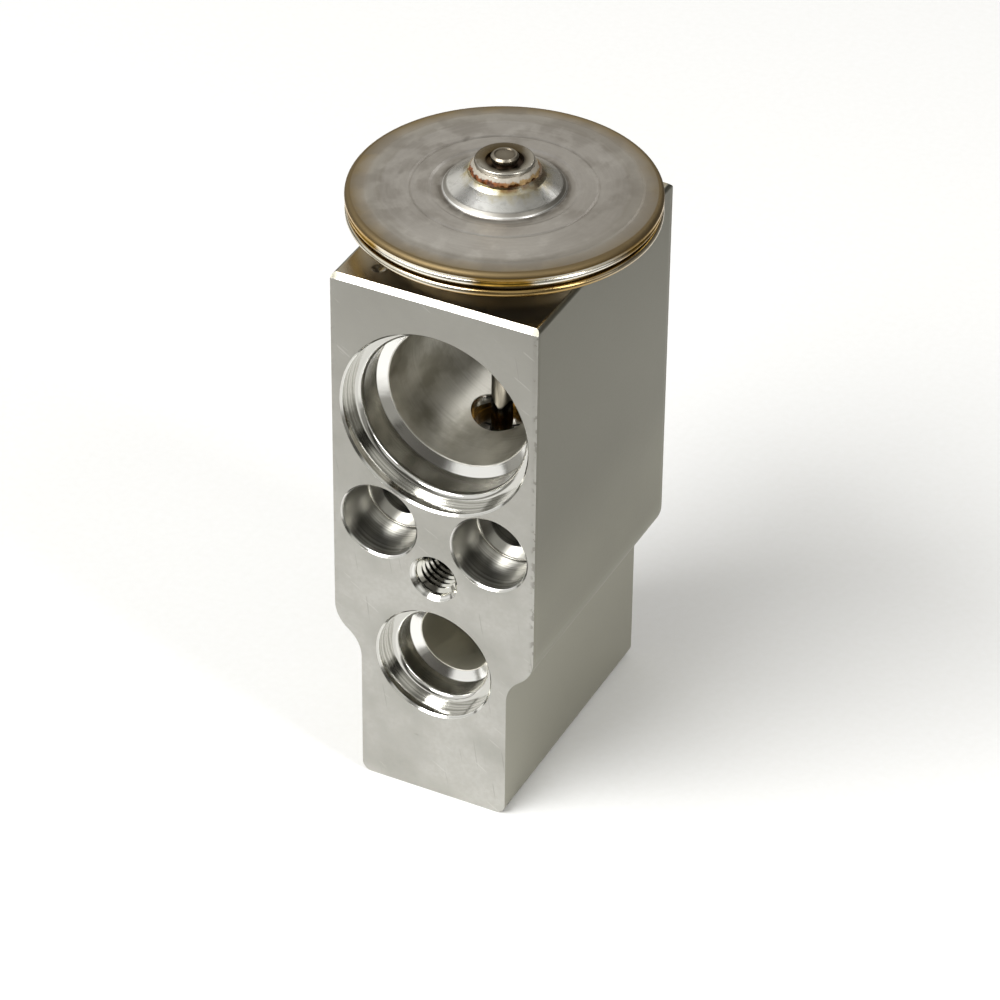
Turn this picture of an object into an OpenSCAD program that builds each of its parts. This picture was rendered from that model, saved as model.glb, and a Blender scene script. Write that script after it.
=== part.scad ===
// Block-type thermostatic expansion valve, millimetres.
// Origin: centre of the foot's underside. +Z points up to the head, -Y to the face with the
// large suction port above and the small liquid port below.

/* [Block] */
// Width of the block across its upper part
block_w = 30; // [29:0.5:36]
// Depth of the block between its two port faces
block_d = 40.5; // [38:0.5:50]
// Height of the block, without the head
block_h = 80.9; // [80:0.1:90]
// Width of the narrower foot
foot_w = 22; // [20:0.5:24]
// Height at which the foot starts to widen
foot_h = 19.7; // [15:0.1:20.5]
// Steepness of the curved shoulders, from the vertical
shoulder_angle = 53; // [40:1:60]
// Chamfer of the top edges above the two port faces
top_chamfer = 0.7; // [0.3:0.1:1.2]
// Radius of the block's upper long edges
top_corner_r = 0.7; // [0.3:0.1:1.2]
// Radius of the foot's lower long edges
foot_corner_r = 1.5; // [0.5:0.1:2.5]
// Broken edge round each bored mouth
edge_break = 0.3; // [0.1:0.05:0.4]
// Radius of the small centre mark on the top, beside the head
mark_r = 1; // [0.6:0.1:1.4]
// Depth of that mark
mark_depth = 0.5; // [0.2:0.1:1]

/* [Suction ports] */
// Height of the suction passage above the underside
suction_z = 61.5; // [61:0.1:61.8]
// Radius of the suction passage
suction_r = 10.5; // [9:0.1:10.8]
// Radius of the sealing bore
suction_bore_r = 12; // [11.6:0.1:12.4]
// Radius of the shallow recess round the mouth
suction_recess_r = 13.6; // [13.5:0.05:13.8]
// Depth at which the suction sealing bore ends
suction_bore_depth = 6.8; // [5.5:0.1:8]

/* [Liquid ports] */
// Height of the liquid inlet above the underside
inlet_z = 22.1; // [21.6:0.1:22.4]
// Height of the outlet to the evaporator, in the rear face
outlet_z = 33; // [32.7:0.1:33.3]
// Radius of the drilled passage behind each liquid port
liquid_r = 5.2; // [4.6:0.1:5.2]
// Radius of the sealing bore
liquid_bore_r = 6.65; // [6.3:0.05:7]
// Radius of the shallow recess round the mouth
liquid_recess_r = 8.5; // [8.2:0.1:8.6]
// Depth at which the liquid sealing bore ends
liquid_bore_depth = 5.9; // [5:0.1:7]
// Depth of the full-size drilling behind the outlet's face
outlet_drill_depth = 11; // [9:0.5:12]
// Radius of the narrow outlet drilling that meets the pin
outlet_r = 3.9; // [3.4:0.1:3.9]

/* [Port details] */
// Depth of the recess round every mouth
recess_depth = 2.4; // [1.8:0.1:2.8]
// Radius of the rounded lip between recess and sealing bore
lip_r = 0.9; // [0.4:0.1:1]
// Depth of the conical step at the end of a sealing bore
bore_cone = 0.8; // [0.5:0.1:1.2]

/* [Fixing holes] */
// Distance between the two fixing holes
fixing_spacing = 16.4; // [16:0.1:17.4]
// Height of the fixing holes above the underside
fixing_z = 43.4; // [43.2:0.1:43.8]
// Radius of the through holes for the fixing screws
fixing_r = 3.3; // [2.8:0.1:3.4]
// Radius of the counterbores for the screw heads
fixing_head_r = 5.5; // [5:0.1:5.6]
// Depth of the counterbores
fixing_head_depth = 7.4; // [6:0.1:9]
// Height of the threaded hole for the pipe flange
flange_hole_z = 36.6; // [36.2:0.1:37]
// Radius of its thread
flange_hole_r = 3; // [2.5:0.5:3]
// Depth of its thread
flange_hole_depth = 12; // [9:0.5:13]

/* [Head] */
// Radius of the head at its edge
head_r = 20.9; // [20.2:0.1:22]
// Height of the head's flat top above the block
head_h = 6.3; // [6:0.1:7]
// Thickness of the pressed lower disc
lower_disc_t = 1.1; // [0.9:0.05:1.2]
// Thickness of the cover's thick edge
cover_rim_t = 2.3; // [2:0.05:2.4]
// Thickness of the cover inside that edge
cover_t = 1.2; // [0.9:0.05:1.4]
// Radius of the rounded upper edge of the cover
cover_round = 0.8; // [0.4:0.05:1]
// Height of the seam groove between the cover's edge and the lower disc
seam_h = 1.2; // [1:0.05:1.3]
// Depth of that groove
seam_depth = 0.9; // [0.6:0.05:1.1]
// Thickness of the diaphragm
diaphragm_t = 0.2; // [0.15:0.05:0.25]
// Radius of the raised middle of the cover
cover_step_r = 18.2; // [17.8:0.1:18.4]
// Height of that raised middle over the cover's edge
cover_step_h = 0.2; // [0.1:0.05:0.3]
// Radius of the fine ring pressed into the cover's flat
press_ring_r = 12.4; // [11.5:0.1:14]
// Radius of the cone's base on the cover
cone_base_r = 8.2; // [7.4:0.1:8.6]
// Radius of the cone's upper end
cone_top_r = 4.8; // [4.7:0.1:5.4]
// Height of the cone over the flat of the cover
cone_h = 2.7; // [2.4:0.1:3.4]
// Radius of the charge nipple's rim
nipple_r = 4; // [3.9:0.05:4.4]
// Height of the charge nipple over the cone
nipple_h = 1.6; // [1.4:0.1:1.8]
// Radius of the charge plug's head
plug_r = 1.85; // [1.7:0.05:2.1]
// Height of the plug's head over the nipple
plug_rise = 0.6; // [0.4:0.05:1.2]
// Radius of the thread that holds the head in the block
sleeve_r = 10.95; // [10.5:0.05:11.4]
// Length of that thread below the block's top face
sleeve_l = 5.8; // [5:0.1:6]
// Wall of the threaded sleeve
sleeve_wall = 1.55; // [1.2:0.05:2]

/* [Pin and seal] */
// Radius of the operating pin
pin_r = 1.5; // [1.3:0.05:1.6]
// Radius of the pin's thin lower end
pin_tip_r = 1; // [0.8:0.05:1]
// Running clearance of the pin in its guides
pin_gap = 0.04; // [0.02:0.01:0.08]
// Radius of the hole for the brass bush
bush_hole_r = 4.25; // [4.15:0.05:4.3]
// Depth of the bush's floor below the suction passage
bush_seat_depth = 5.5; // [5.2:0.1:5.6]
// Height of the brass bush
bush_h = 4.3; // [4:0.1:4.4]
// Wall of the brass bush
bush_wall = 0.5; // [0.4:0.05:0.6]
// Thickness of the bush's floor
bush_floor = 1; // [0.8:0.1:1.2]
// Section radius of the pin's sealing ring
pin_seal_r = 0.95; // [0.9:0.01:0.97]

/* [Valve] */
// Full stroke of the pin and ball
stroke = 0.7; // [0.4:0.05:0.75]
// Radius of the ball
ball_r = 2.4; // [2.2:0.05:2.6]
// Radius of the orifice
orifice_r = 1.6; // [1.5:0.05:1.65]
// Radius of the valve chamber
chamber_r = 5.45; // [5.2:0.05:5.6]
// Height of the chamber's roof above the underside
chamber_top = 27.5; // [27.2:0.1:27.6]
// Radius of the seat ring's body
seat_r = 3.8; // [3.4:0.1:3.9]
// Gap between the ball and the seat when shut
ball_gap = 0.06; // [0.04:0.01:0.1]
// Radius of the ball carrier's flange
carrier_r = 4.5; // [4.3:0.1:4.6]

/* [Spring and adjuster] */
// Radius of the spring's wire
wire_r = 0.55; // [0.45:0.05:0.6]
// Mean radius of the spring's coils
coil_r = 3.4; // [3.2:0.05:3.5]
// Number of open coils between the closed ends
open_coils = 3; // [2.5:0.5:3]
// Radius of the adjusting screw's thread
screw_r = 5.95; // [5.7:0.05:6.1]
// Height of the adjusting screw's underside
screw_z = 2.6; // [2:0.1:3]
// Length of the adjusting screw's thread
screw_thread_l = 4.2; // [3.8:0.1:4.4]
// Width across the flats of its hexagon socket
hex_af = 5; // [4:0.5:6]
// Section radius of the adjusting screw's sealing ring
screw_seal_r = 0.9; // [0.8:0.05:1]

/* [Hidden] */
$fn = 96;

// How far a cut reaches past the face that it opens
past = 1;
// Gap round pieces that are pressed or laid in place
fit_gap = 0.02;
// Gap under the diaphragm, so that plate and diaphragm never share a surface
plate_gap = 0.05;
half_d = block_d / 2;
mark_x = 5.1 - block_w / 2;
mark_y = 3.85 - half_d;

// Curved shoulders: two equal arcs, tangent to the sides and to each other
shoulder_step = (block_w - foot_w) / 2;
shoulder_r = shoulder_step / (2 * (1 - cos(shoulder_angle)));
shoulder_h = 2 * shoulder_r * sin(shoulder_angle);
shoulder_top = foot_h + shoulder_h;
shoulder_mid = foot_h + shoulder_h / 2;

// Levels of the central bore, from the passage down
passage_floor = suction_z - suction_r;
passage_roof = suction_z + suction_r;
bush_z = passage_floor - bush_seat_depth;
guide_r = pin_r + pin_gap;
bush_r = bush_hole_r - fit_gap;
bush_inner_r = bush_r - bush_wall;

// Levels of the head
head_top = block_h + head_h;
rim_top = head_top - cover_step_h;
cover_under = rim_top - cover_rim_t;
disc_top = cover_under - diaphragm_t;
disc_under = disc_top - lower_disc_t;
charge_room_r = cover_step_r - 0.9;
weld_r = head_r - seam_depth;
seam_top = disc_top + seam_h;
sleeve_flange_t = 0.6;
sleeve_flange_r = 13.5;
pan_floor = block_h + sleeve_flange_t;
pan_top = pan_floor + lower_disc_t;
sleeve_bore_r = sleeve_r - sleeve_wall;
head_bore_r = sleeve_r + pin_gap;
head_bore_floor = block_h - sleeve_l - 0.5;
ring_groove_r = sleeve_r + 1.9;
ring_groove_h = 1.65;
head_ring_r = 0.8;
cone_top = head_top + cone_h;
nipple_hole_r = 1.6;
nipple_spigot_r = 2.4;
nipple_top = cone_top + nipple_h;
nipple_foot_z = cone_top - 1.5;
plug_well_r = 2.55;
foot_groove_w = 1.8;

// Plate under the diaphragm
plate_top = disc_top - plate_gap;
plate_under = pan_top + stroke + 0.1;
plate_r = 11.8;
plate_boss_r = 3.4;
plate_boss_z = pan_floor - 2;
pin_top = plate_under - 1.2;

// Seat, ball and carrier
seat_lip = 0.9;
seat_under = chamber_top - seat_lip;
seat_flange_r = seat_r + 0.8;
seat_mouth_r = orifice_r + 0.7;
seat_top = outlet_z - outlet_r + 0.4;
contact = ball_r * cos(45);
ball_z = seat_under + seat_mouth_r - contact - contact - ball_gap * sqrt(2);
tip_z = ball_z + ball_r;
pin_step_z = outlet_z - 1.5;
cup_top = ball_z - 1.1;
cup_cone_r = cup_top - (ball_z - 2 * contact) - fit_gap;
cup_floor_r = 0.9;
cup_floor = cup_top - (cup_cone_r - cup_floor_r);
flange_top = cup_floor - 0.9;
flange_t = 1.4;
spring_top = flange_top - flange_t;
spigot_r = coil_r - wire_r - 0.35;
spigot_end = spring_top - 2;
cup_r = 2.9;
finger_w = 1.8;
finger_bend = flange_top + 1.7;
finger_top = finger_bend + 0.5;

// Adjusting screw, from its underside up
screw_l = 9.8;
screw_top = screw_z + screw_l;
seal_z = screw_top - 2.1;
screw_spigot_h = 1.6;
hex_depth = 4;
screw_neck_r = chamber_r - 0.1;
seal_groove_r = chamber_r - 2 * screw_seal_r - 2 * fit_gap;
screw_way_up = 0.5;
thread_top = screw_z + screw_thread_l + screw_way_up + 0.1;

// 2D corner that is cut off an outline to leave a radius r at the origin's corner
module corner_2d(r) {
    difference() {
        translate([-past, -past]) square(r + past);
        translate([r, r]) circle(r);
    }
}

// Right half of the block's outline, x across and y up
module half_outline() {
    square([foot_w / 2, block_h]);
    difference() {
        translate([0, foot_h]) square([foot_w / 2 + shoulder_r, shoulder_h / 2]);
        translate([foot_w / 2 + shoulder_r, foot_h]) circle(shoulder_r);
    }
    intersection() {
        translate([0, shoulder_mid]) square([block_w / 2, shoulder_h / 2]);
        translate([block_w / 2 - shoulder_r, shoulder_top]) circle(shoulder_r);
    }
    translate([0, shoulder_top]) square([block_w / 2, block_h - shoulder_top]);
}

module block_outline() {
    difference() {
        for (side = [0, 1]) mirror([side, 0]) half_outline();
        for (side = [0, 1]) mirror([side, 0]) {
            translate([-foot_w / 2, 0]) corner_2d(foot_corner_r);
            translate([-block_w / 2, block_h]) mirror([0, 1]) corner_2d(top_corner_r);
        }
    }
}

// Port seen from its face: recess, rounded lip, sealing bore, conical step and passage.
// x is the radius and y the depth from the face.
module port_profile(recess_r, bore_r, passage_r, bore_depth, passage_depth) {
    polygon([[0, -past], [recess_r + edge_break + past, -past], [recess_r, edge_break],
             [recess_r, recess_depth], [0, recess_depth]]);
    difference() {
        square([bore_r + lip_r, recess_depth + lip_r]);
        translate([bore_r + lip_r, recess_depth + lip_r]) circle(lip_r);
    }
    square([bore_r, bore_depth]);
    polygon([[0, bore_depth], [bore_r, bore_depth], [passage_r, bore_depth + bore_cone],
             [passage_r, passage_depth], [0, passage_depth]]);
}

// Stands the z axis of a cut on a port face: front is -Y, rear is +Y
module from_face(rear, x, z) {
    translate([x, rear ? half_d : -half_d, z]) rotate([rear ? 90 : -90, 0, 0]) children();
}

module suction_port() {
    rotate_extrude() port_profile(suction_recess_r, suction_bore_r, suction_r,
                                  suction_bore_depth, half_d + past);
}

module liquid_port(depth) {
    rotate_extrude() port_profile(liquid_recess_r, liquid_bore_r, liquid_r,
                                  liquid_bore_depth, depth);
}

// Blind drilling with a drill's pointed end
module drilling(r, depth) {
    translate([0, 0, -past]) cylinder(r = r, h = depth + past);
    translate([0, 0, depth]) cylinder(r1 = r, r2 = 0, h = r * tan(31));
}

// Conical edge break of a hole of radius r
module mouth_break(r, size) {
    translate([0, 0, -past]) cylinder(r1 = r + size + past, r2 = r, h = size + past);
}

module fixing_hole() {
    translate([0, 0, -past]) cylinder(r = fixing_r, h = block_d + 2 * past);
    translate([0, 0, -past]) cylinder(r = fixing_head_r, h = fixing_head_depth + past);
    mouth_break(fixing_head_r, edge_break);
    translate([0, 0, block_d]) mirror([0, 0, 1]) mouth_break(fixing_r, edge_break);
}

// Bores along the vertical axis, from the foot up
module central_bores() {
    mouth_break(screw_r + pin_gap, edge_break + 0.3);
    translate([0, 0, -past]) cylinder(r = screw_r + pin_gap, h = thread_top + past);
    cylinder(r = chamber_r, h = chamber_top);
    cylinder(r = seat_r + fit_gap, h = outlet_z);
    cylinder(r = guide_r, h = suction_z);
    translate([0, 0, bush_z]) cylinder(r = bush_hole_r, h = suction_z - bush_z);
    translate([0, 0, suction_z]) cylinder(r = 6.6, h = block_h - suction_z);
    translate([0, 0, head_bore_floor]) cylinder(r = head_bore_r, h = block_h);
    translate([0, 0, block_h - ring_groove_h]) cylinder(r = ring_groove_r, h = block_h);
}

module valve_body() {
    color("silver") difference() {
        rotate([90, 0, 0]) linear_extrude(height = block_d, center = true) block_outline();
        for (side = [-1, 1]) translate([0, side * half_d, block_h]) rotate([45, 0, 0])
            cube([block_w + 2 * past, top_chamfer * sqrt(2), top_chamfer * sqrt(2)], center = true);
        for (rear = [false, true]) from_face(rear, 0, suction_z) suction_port();
        from_face(false, 0, inlet_z) liquid_port(half_d + 1.5);
        from_face(true, 0, outlet_z) liquid_port(outlet_drill_depth);
        from_face(true, 0, outlet_z) drilling(outlet_r, half_d + 1.5);
        for (side = [-1, 1]) from_face(false, side * fixing_spacing / 2, fixing_z) fixing_hole();
        from_face(false, 0, flange_hole_z) {
            drilling(flange_hole_r, flange_hole_depth);
            mouth_break(flange_hole_r, 2 * edge_break);
        }
        translate([mark_x, mark_y, block_h - mark_depth])
            cylinder(r1 = 0, r2 = mark_r * (mark_depth + past) / mark_depth,
                     h = mark_depth + past);
        central_bores();
    }
}

// Pressed pan with a sloping wall and a flat flange whose outer edge is fully rounded
module head_lower_disc() {
    half_t = lower_disc_t / 2;
    wall_run = lower_disc_t * (sqrt(2) - 1);
    pan_r = sleeve_flange_r + 0.1;
    slope_h = disc_under - pan_floor;
    color("darkkhaki") rotate_extrude() {
        polygon([
            [sleeve_bore_r, pan_floor], [pan_r, pan_floor], [pan_r + slope_h, disc_under],
            [head_r - half_t, disc_under], [head_r - half_t, disc_top],
            [pan_r + slope_h - wall_run, disc_top], [pan_r - wall_run, pan_top],
            [sleeve_bore_r, pan_top]]);
        translate([head_r - half_t, disc_top - half_t]) circle(half_t);
    }
}

module head_threaded_sleeve() {
    bottom = block_h - sleeve_l;
    color("gray") rotate_extrude() polygon([
        [sleeve_bore_r, bottom], [sleeve_r - 0.5, bottom], [sleeve_r, bottom + 0.5],
        [sleeve_r, block_h], [sleeve_flange_r, block_h], [sleeve_flange_r, pan_floor],
        [sleeve_bore_r, pan_floor]]);
}

// Cover: rounded edge over the seam groove, raised middle, pressed rings, room for the charge
module head_cover() {
    skin = cover_t * 0.75;
    step = cover_step_h * 0.4;
    color("tan") rotate_extrude() difference() {
        polygon([
            [head_r, rim_top], [head_r, seam_top + 0.25], [head_r - 0.25, seam_top],
            [weld_r, seam_top], [weld_r, cover_under],
            [charge_room_r, cover_under], [charge_room_r - 0.5, head_top - cover_t],
            [cone_base_r - 0.9, head_top - cover_t], [cone_top_r - 0.9, cone_top - skin],
            [nipple_spigot_r + fit_gap, cone_top - skin], [nipple_spigot_r + fit_gap, cone_top],
            [cone_top_r, cone_top], [cone_top_r + 0.1, cone_top - 0.3],
            [cone_top_r + 0.7, cone_top - 0.8], [cone_base_r - 0.5, head_top + 0.55],
            [cone_base_r, head_top], [cone_base_r + 0.15, head_top - 0.1],
            [cone_base_r + 0.7, head_top - 0.2], [cone_base_r + foot_groove_w - 0.4, head_top - 0.15],
            [cone_base_r + foot_groove_w, head_top],
            [press_ring_r - 0.3, head_top], [press_ring_r, head_top - 0.1],
            [press_ring_r + 0.3, head_top],
            [cover_step_r - 0.1, head_top], [cover_step_r + 0.2, head_top - step],
            [head_r - cover_round - 0.2, rim_top]]);
        translate([head_r, rim_top]) rotate(180) corner_2d(cover_round);
    }
}

// Nipple: spigot in the cone, flared foot, rounded rim, dished top with a well for the plug
module charge_nipple() {
    rim = 0.35;
    well_floor = nipple_top - 0.75;
    color("silver") rotate_extrude() difference() {
        union() {
            polygon([
                [nipple_hole_r, nipple_foot_z], [nipple_spigot_r, nipple_foot_z],
                [nipple_spigot_r, cone_top], [nipple_r + 0.55, cone_top],
                [nipple_r + 0.5, cone_top + 0.2], [nipple_r + 0.15, cone_top + 0.7],
                [nipple_r, cone_top + 0.9], [nipple_r, nipple_top - rim],
                [nipple_hole_r, nipple_top - rim]]);
            translate([nipple_r - rim, nipple_top - rim]) circle(rim);
            translate([nipple_hole_r, nipple_top - rim])
                square([nipple_r - rim - nipple_hole_r, rim]);
        }
        polygon([
            [nipple_hole_r - past, well_floor], [plug_well_r - 0.1, well_floor],
            [plug_well_r, nipple_top - 0.25], [nipple_r - rim - 0.1, nipple_top],
            [nipple_r - rim - 0.1, nipple_top + past], [nipple_hole_r - past, nipple_top + past]]);
    }
}

// Plug: stem in the nipple's hole, flared head with a shallow dish in its top
module charge_plug() {
    top = nipple_top + plug_rise;
    stem_r = nipple_hole_r - fit_gap;
    dish_r = plug_r - 0.45;
    color("dimgray") rotate_extrude() polygon([
        [0, cone_top - 1], [stem_r, cone_top - 1], [stem_r, nipple_top - 0.6],
        [plug_r, nipple_top - 0.1], [plug_r, top - 0.25], [plug_r - 0.25, top],
        [dish_r, top], [dish_r - 0.15, top - 0.12], [0, top - 0.12]]);
}

// Diaphragm with two shallow corrugations outside the plate
module diaphragm() {
    edge_r = weld_r;
    wave_in = plate_r;
    wave_out = charge_room_r - 0.3;
    wave = [for (i = [0 : 24]) let (r = wave_in + (wave_out - wave_in) * i / 24)
            [r, 0.06 * (1 - cos(720 * i / 24))]];
    lower = [for (p = wave) [p[0], disc_top + p[1]]];
    upper = [for (i = [24 : -1 : 0]) [wave[i][0], disc_top + diaphragm_t + wave[i][1]]];
    color("lightgray") rotate_extrude() polygon(concat(
        [[0, disc_top]], lower,
        [[edge_r, disc_top], [edge_r, cover_under]], upper, [[0, cover_under]]));
}

module diaphragm_plate() {
    color("silver") difference() {
        rotate_extrude() polygon([
            [0, plate_top], [plate_r - 3.2, plate_top], [plate_r, plate_under + 0.6],
            [plate_r, plate_under], [plate_boss_r + 2.4, plate_under],
            [plate_boss_r, plate_under - 1.4], [plate_boss_r, plate_boss_z + 0.4],
            [plate_boss_r - 0.4, plate_boss_z], [pin_r + fit_gap, plate_boss_z],
            [pin_r + fit_gap, pin_top], [0, pin_top]]);
        for (a = [45 : 90 : 315]) rotate(a) translate([plate_boss_r + 4, 0, plate_under - past])
            cylinder(r = 0.9, h = plate_top - plate_under + 2 * past);
    }
}

// Sealing ring of section radius r round a shaft of radius inner
module o_ring(inner, r, z) {
    color("black") translate([0, 0, z]) rotate_extrude()
        translate([inner + r, 0]) circle(r);
}

module head_o_ring() {
    o_ring(sleeve_r + fit_gap, head_ring_r, block_h - head_ring_r - fit_gap);
}

module operating_pin() {
    color("lightsteelblue") rotate_extrude() polygon([
        [0, tip_z], [pin_tip_r, tip_z], [pin_tip_r, pin_step_z],
        [pin_r, pin_step_z + 0.8], [pin_r, pin_top - 0.2], [pin_r - 0.2, pin_top], [0, pin_top]]);
}

// Brass cup: floor with the guide bore, thin wall with one turned groove inside
module pin_guide_bush() {
    floor_z = bush_z + bush_floor;
    top = bush_z + bush_h;
    color("goldenrod") rotate_extrude() polygon([
        [guide_r, bush_z], [bush_r - 0.3, bush_z], [bush_r, bush_z + 0.3], [bush_r, top],
        [bush_inner_r + 0.15, top], [bush_inner_r, top - 0.15], [bush_inner_r, top - 1.1],
        [bush_inner_r + 0.2, top - 1.1], [bush_inner_r + 0.2, top - 1.4],
        [bush_inner_r, top - 1.4], [bush_inner_r, floor_z], [guide_r, floor_z]]);
}

module pin_o_ring() {
    o_ring(pin_r + pin_gap / 2, pin_seal_r, bush_z + bush_floor + pin_seal_r + fit_gap);
}

// Star washer: flat ring with eight slots from its inner edge
module pin_seal_retainer() {
    z = bush_z + bush_floor + 2 * (pin_seal_r + fit_gap);
    color("slategray") translate([0, 0, z]) difference() {
        cylinder(r = bush_inner_r - fit_gap, h = 0.25);
        translate([0, 0, -past]) cylinder(r = pin_r + 0.15, h = 2 * past);
        for (i = [0 : 7]) rotate(45 * i) translate([pin_r, -0.2, -past]) cube([1.1, 0.4, 2 * past]);
    }
}

module valve_seat() {
    color("darkgray") rotate_extrude() polygon([
        [seat_mouth_r, seat_under], [seat_flange_r, seat_under], [seat_flange_r, chamber_top],
        [seat_r, chamber_top], [seat_r, seat_top], [orifice_r + 0.3, seat_top],
        [orifice_r, seat_top - 0.3], [orifice_r, seat_under + seat_mouth_r - orifice_r]]);
}

module valve_ball() {
    color("gainsboro") translate([0, 0, ball_z]) sphere(r = ball_r - fit_gap / 2);
}

module ball_carrier() {
    color("darkgray") rotate_extrude() polygon([
        [0, cup_floor], [cup_floor_r, cup_floor], [cup_cone_r, cup_top], [cup_r, cup_top],
        [cup_r, flange_top], [carrier_r, flange_top], [carrier_r, spring_top],
        [spigot_r, spring_top], [spigot_r, spigot_end + 0.4], [spigot_r - 0.4, spigot_end],
        [0, spigot_end]]);
}

// Stamped ring round the carrier's cup, with three fingers that lean on the chamber wall
module damping_spring() {
    t = 0.25;
    reach = chamber_r - 0.1;
    color("peru") {
        translate([0, 0, flange_top]) difference() {
            cylinder(r = carrier_r - 0.2, h = t);
            translate([0, 0, -past]) cylinder(r = cup_r + 0.05, h = 2 * past);
        }
        for (a = [90, 210, 330]) rotate(a) rotate([90, 0, 0])
            linear_extrude(height = finger_w, center = true) polygon([
                [carrier_r - 0.8, flange_top], [carrier_r - 0.2, flange_top],
                [reach, finger_bend], [reach, finger_top],
                [reach - t, finger_top], [reach - t, finger_bend + 0.1],
                [carrier_r - 0.3, flange_top + t], [carrier_r - 0.8, flange_top + t]]);
    }
}

// Coil spring: a ring of points is carried along a helix whose first and last turns are closed
module superheat_spring() {
    steps = 24;
    sides = 10;
    closed = 2 * wire_r + 0.05;
    low = screw_top + wire_r + fit_gap;
    high = spring_top - wire_r - fit_gap;
    turns = open_coils + 2;
    open_pitch = (high - low - 2 * closed) / open_coils;
    function height(t) = t < 1 ? closed * t
        : t > turns - 1 ? closed + open_pitch * open_coils + closed * (t - turns + 1)
        : closed + open_pitch * (t - 1);
    rings = steps * turns;
    points = [for (i = [0 : rings]) for (j = [0 : sides - 1])
        let (t = i / steps, a = 360 * t, b = 360 * j / sides, r = coil_r + wire_r * cos(b))
        [r * cos(a), r * sin(a), low + height(t) + wire_r * sin(b)]];
    skin = [for (i = [0 : rings - 1]) for (j = [0 : sides - 1])
        let (k = (j + 1) % sides)
        each [[i * sides + j, (i + 1) * sides + j, (i + 1) * sides + k],
              [i * sides + j, (i + 1) * sides + k, i * sides + k]]];
    first = [for (j = [0 : sides - 1]) j];
    last = [for (j = [sides - 1 : -1 : 0]) rings * sides + j];
    color("steelblue") polyhedron(points, concat(skin, [first, last]));
}

module adjusting_screw() {
    thread_end = screw_z + screw_thread_l;
    groove = screw_seal_r + 0.15;
    spigot_top = screw_top + screw_spigot_h;
    color("lightslategray") difference() {
        rotate_extrude() polygon([
            [0, screw_z], [screw_r - 0.5, screw_z], [screw_r, screw_z + 0.5],
            [screw_r, thread_end - 0.4], [screw_neck_r, thread_end], [screw_neck_r, seal_z - groove],
            [seal_groove_r, seal_z - groove], [seal_groove_r, seal_z + groove],
            [screw_neck_r, seal_z + groove], [screw_neck_r, screw_top],
            [spigot_r, screw_top], [spigot_r, spigot_top - 0.4], [spigot_r - 0.4, spigot_top],
            [0, spigot_top]]);
        translate([0, 0, screw_z - past])
            cylinder(d = hex_af / cos(30), h = hex_depth + past, $fn = 6);
    }
}

module adjuster_o_ring() {
    o_ring(seal_groove_r + fit_gap, screw_seal_r, seal_z);
}

valve_body();
head_lower_disc();
head_threaded_sleeve();
head_cover();
charge_nipple();
charge_plug();
diaphragm();
diaphragm_plate();
head_o_ring();
operating_pin();
pin_guide_bush();
pin_o_ring();
pin_seal_retainer();
valve_seat();
valve_ball();
ball_carrier();
damping_spring();
superheat_spring();
adjusting_screw();
adjuster_o_ring();
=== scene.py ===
"""Block-type thermostatic expansion valve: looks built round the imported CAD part, in metres."""

import bpy
import numpy as np
from mathutils import Matrix, Vector


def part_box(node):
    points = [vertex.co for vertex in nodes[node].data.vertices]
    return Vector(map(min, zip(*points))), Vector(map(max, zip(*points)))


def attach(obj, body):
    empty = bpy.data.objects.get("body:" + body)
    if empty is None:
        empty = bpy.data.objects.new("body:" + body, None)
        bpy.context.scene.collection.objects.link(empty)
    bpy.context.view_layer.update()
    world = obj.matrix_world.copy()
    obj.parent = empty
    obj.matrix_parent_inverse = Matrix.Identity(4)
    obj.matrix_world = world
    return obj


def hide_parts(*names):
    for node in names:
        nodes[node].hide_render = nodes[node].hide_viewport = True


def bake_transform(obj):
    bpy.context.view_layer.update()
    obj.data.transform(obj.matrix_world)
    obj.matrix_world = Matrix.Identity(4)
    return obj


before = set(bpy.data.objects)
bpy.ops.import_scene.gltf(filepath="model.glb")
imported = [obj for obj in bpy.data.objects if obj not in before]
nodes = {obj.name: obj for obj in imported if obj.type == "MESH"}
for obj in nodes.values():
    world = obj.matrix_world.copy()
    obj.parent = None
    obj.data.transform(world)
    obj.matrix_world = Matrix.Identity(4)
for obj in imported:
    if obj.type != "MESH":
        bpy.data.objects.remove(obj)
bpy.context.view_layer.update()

# Camera: a long lens 0.63 m away, 26 degrees round to the right and 36 degrees up. These values
# come from a fit to the block's edges and to the circles of its ports and head.
azimuth, elevation, roll = np.radians([26.308, 35.999, 0.588])
back = Vector((np.sin(azimuth) * np.cos(elevation), -np.cos(azimuth) * np.cos(elevation),
               np.sin(elevation)))
right = Vector((0, 0, 1)).cross(back).normalized()
up = back.cross(right)
aim_point, distance = Vector((-0.000193, 0, 0.036568)), 0.627264
camera_data = bpy.data.cameras.new("camera")
camera_data.lens, camera_data.sensor_width = 165.23, 36
camera_data.clip_start, camera_data.clip_end = 0.05, 20
camera = bpy.data.objects.new("camera", camera_data)
turned = Matrix((right * np.cos(roll) + up * np.sin(roll),
                 up * np.cos(roll) - right * np.sin(roll), back)).transposed().to_4x4()
camera.matrix_world = Matrix.Translation(aim_point + back * distance) @ turned
bpy.context.collection.objects.link(camera)
bpy.context.scene.camera = camera
bpy.context.scene.view_settings.view_transform = "Standard"


# Studio: a white matt floor, a grey room with pale and dark patches for the metal to mirror, and
# three soft lamps. The large one stands high at the front left and leaves the right side in shade.
def linear(code):
    """Turns an sRGB hex colour into linear light: each channel through the sRGB curve."""
    channel = np.array([int(code[i:i + 2], 16) for i in (1, 3, 5)]) / 255
    light = np.where(channel <= 0.04045, channel / 12.92, ((channel + 0.055) / 1.055) ** 2.4)
    return (*light.tolist(), 1)


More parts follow.
